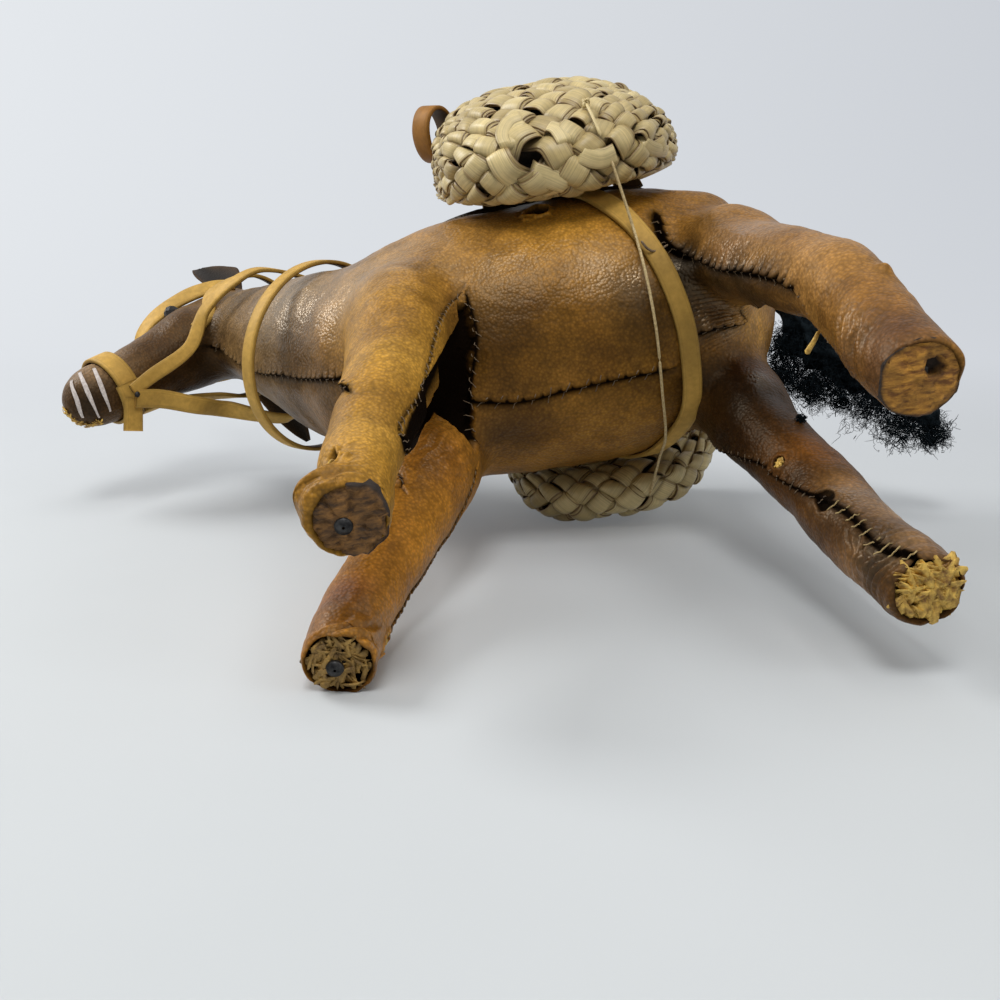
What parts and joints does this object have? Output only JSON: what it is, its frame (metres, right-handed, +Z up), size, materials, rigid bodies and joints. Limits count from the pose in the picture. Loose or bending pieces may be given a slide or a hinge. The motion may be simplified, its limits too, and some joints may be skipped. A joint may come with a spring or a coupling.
{
  "type": "pack donkey figure",
  "caption": "Straw-stuffed figure of a pack donkey in sewn leather, with a strip-leather bridle, girth and back pad and plaited palm baskets hung over its back.",
  "frame": {"origin": "on the ground, under the middle of the whole figure's box", "axes": "+Z up, -Y the way the animal faces, +X its left; it stands on its soles at Z = 0"},
  "size_m": [0.1172, 0.251, 0.2159],
  "materials": {
    "hide": "satin brown leather, mottled honey to dark brown",
    "strap": "matt tan strip leather with dark cut edges",
    "straw": "dry golden straw",
    "iron_wire": "dark annealed wire",
    "palm": "dry pale palm leaf, slightly glossy",
    "wool": "matt blue-black wool",
    "bead": "gloss black"
  },
  "bodies": {
    "donkey": {"fore_leg_wire": "iron_wire", "hind_leg_wire": "iron_wire", "spine_wire": "iron_wire", "trunk_hide_left": "hide", "trunk_hide_right": "hide", "trunk_straw": "straw", "neck_hide": "hide", "neck_straw": "straw", "head_hide": "hide", "head_straw": "straw", "left_fore_leg_hide": "hide", "left_fore_leg_straw": "straw", "right_fore_leg_hide": "hide", "right_fore_leg_straw": "straw", "left_hind_leg_hide": "hide", "left_hind_leg_straw": "straw", "right_hind_leg_hide": "hide", "right_hind_leg_straw": "straw", "left_eye": "bead", "right_eye": "bead", "girth": "strap", "back_pad": "hide", "front_back_strap": "strap", "rear_back_strap": "strap", "belly_thread": "palm", "noseband": "strap", "noseband_keeper": "strap", "browband": "strap", "headstall": "strap", "rein": "strap"},
    "left_pannier": {"left_basket": "palm", "left_front_hook": "strap", "left_rear_hook": "strap", "basket_loop": "strap"},
    "right_pannier": {"right_basket": "palm", "right_front_hook": "strap", "right_rear_hook": "strap"},
    "left_ear": {"left_ear": "hide"},
    "right_ear": {"right_ear": "hide"},
    "tail": {"tail_tuft": "wool"},
    "neck_strap": {"neck_strap": "strap"}
  },
  "joints": [
    {"name": "left_pannier_swing", "type": "hinge", "parent": "donkey", "child": "left_pannier", "pos_m": [0.02522, 0.02566, 0.1403], "axis": [0, -1, 0], "range_deg": [0, 12]},
    {"name": "right_pannier_swing", "type": "hinge", "parent": "donkey", "child": "right_pannier", "pos_m": [-0.03072, 0.02566, 0.1403], "axis": [0, 1, 0], "range_deg": [0, 12]},
    {"name": "left_ear_bend", "type": "hinge", "parent": "donkey", "child": "left_ear", "pos_m": [0.0071, -0.08099, 0.18763], "axis": [-0.3716, 0.7483, 0.5496], "range_deg": [-12, 12], "stiffness_Nm_per_rad": 0.004},
    {"name": "right_ear_bend", "type": "hinge", "parent": "donkey", "child": "right_ear", "pos_m": [-0.01421, -0.07852, 0.18627], "axis": [-0.2522, -0.9068, 0.3377], "range_deg": [-12, 12], "stiffness_Nm_per_rad": 0.004},
    {"name": "tail_swing", "type": "hinge", "parent": "donkey", "child": "tail", "pos_m": [-0.00465, 0.07756, 0.13766], "axis": [0, 0, 1], "range_deg": [-80, 10]},
    {"name": "neck_strap_slide", "type": "slide", "parent": "donkey", "child": "neck_strap", "axis": [0, -0.682, 0.7314], "range_m": [0, 0.008]}
  ]
}
